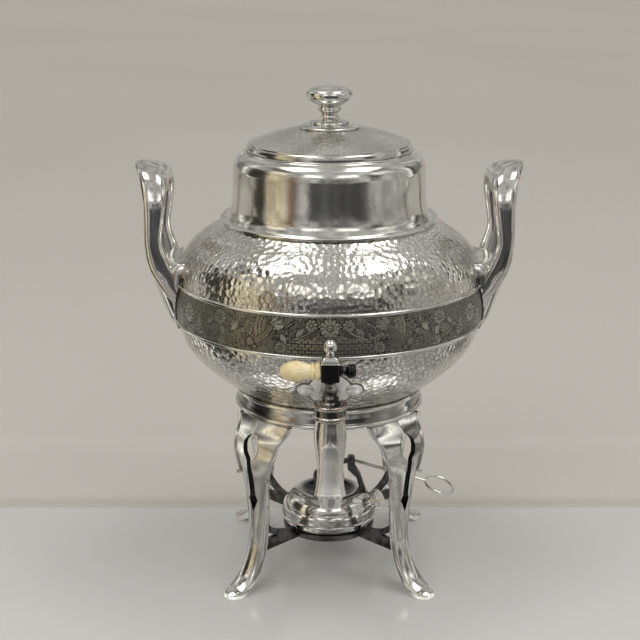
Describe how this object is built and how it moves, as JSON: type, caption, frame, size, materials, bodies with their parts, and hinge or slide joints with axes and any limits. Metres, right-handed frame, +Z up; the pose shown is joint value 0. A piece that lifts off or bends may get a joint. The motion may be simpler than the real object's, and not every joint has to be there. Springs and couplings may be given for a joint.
{
  "type": "samovar",
  "caption": "Footed hot water urn with upright loop handles, a bone-gripped tap, a lift-off lid, and a spirit lamp with snuffer under its four-legged stand.",
  "frame": {"origin": "on the urn's vertical axis, at the level of the table that the four feet stand on", "axes": "+Z up; the tap faces -Y; the handles stand at -X and +X"},
  "size_m": [0.3156, 0.306, 0.4106],
  "materials": {
    "silver_plate": "polished silver plate",
    "hammered_silver": "hammered silver plate",
    "engraved_band": "engraved, darkened",
    "worn_plate": "plate worn to copper at edges",
    "dark_metal": "dark, satin",
    "bone": "polished bone",
    "wick_cotton": "cotton"
  },
  "bodies": {
    "stand": {"stand_ring": "silver_plate", "seat_ledge": "silver_plate", "ring_bead_upper": "silver_plate", "ring_bead_lower": "silver_plate", "leg_front_left": "silver_plate", "leg_front_right": "silver_plate", "leg_back_right": "silver_plate", "leg_back_left": "silver_plate", "cradle_ring": "dark_metal", "cradle_arm_front_left": "dark_metal", "cradle_arm_front_right": "dark_metal", "cradle_arm_back_right": "dark_metal", "cradle_arm_back_left": "dark_metal"},
    "urn": {"urn_bowl": "hammered_silver", "urn_shoulder": "hammered_silver", "belly_band": "engraved_band", "band_bead_upper": "silver_plate", "band_bead_lower": "silver_plate", "neck_base_rim": "silver_plate", "neck_collar": "silver_plate", "foot_rim": "silver_plate", "handle_left": "silver_plate", "handle_right": "silver_plate", "tap_rosette": "silver_plate", "tap_body": "worn_plate", "wedge_washer": "silver_plate", "tap_nut": "silver_plate", "tap_strainer": "silver_plate"},
    "lid": {"lid_edge": "silver_plate", "lid_flange": "silver_plate", "lid_dome": "hammered_silver", "knob_plate": "silver_plate", "lid_knob": "silver_plate", "knob_nut": "silver_plate"},
    "tap_key": {"tap_plug": "silver_plate", "key_block": "silver_plate", "key_ball": "silver_plate", "key_grip": "bone", "grip_pin": "silver_plate", "key_button": "silver_plate"},
    "lamp": {"lamp_pan": "silver_plate", "lamp_rim": "silver_plate", "lamp_dome": "silver_plate", "filler_neck": "silver_plate", "wick_tube": "dark_metal", "wick": "wick_cotton", "lever_bracket": "silver_plate", "hinge_pin": "silver_plate"},
    "filler_cap": {"filler_cap": "silver_plate"},
    "snuffer": {"snuffer_cap": "silver_plate", "snuffer_lever": "silver_plate", "snuffer_rod": "silver_plate"}
  },
  "joints": [
    {"name": "urn_lift", "type": "slide", "parent": "stand", "child": "urn", "axis": [0, 0, 1], "range_m": [0, 0.12]},
    {"name": "lid_lift", "type": "slide", "parent": "urn", "child": "lid", "axis": [0, 0, 1], "range_m": [0, 0.08]},
    {"name": "tap_turn", "type": "hinge", "parent": "urn", "child": "tap_key", "pos_m": [0, -0.152, 0.19], "axis": [0, 0, 1], "range_deg": [0, 90]},
    {"name": "lamp_lift", "type": "slide", "parent": "stand", "child": "lamp", "axis": [0, 0, 1], "range_m": [0, 0.045]},
    {"name": "snuffer_pivot", "type": "hinge", "parent": "lamp", "child": "snuffer", "pos_m": [0.0195, 0, 0.0895], "axis": [0, 1, 0], "range_deg": [0, 36]},
    {"name": "filler_cap_lift", "type": "slide", "parent": "lamp", "child": "filler_cap", "axis": [0.8403, -0.2095, 0.5], "range_m": [0, 0.012]}
  ]
}
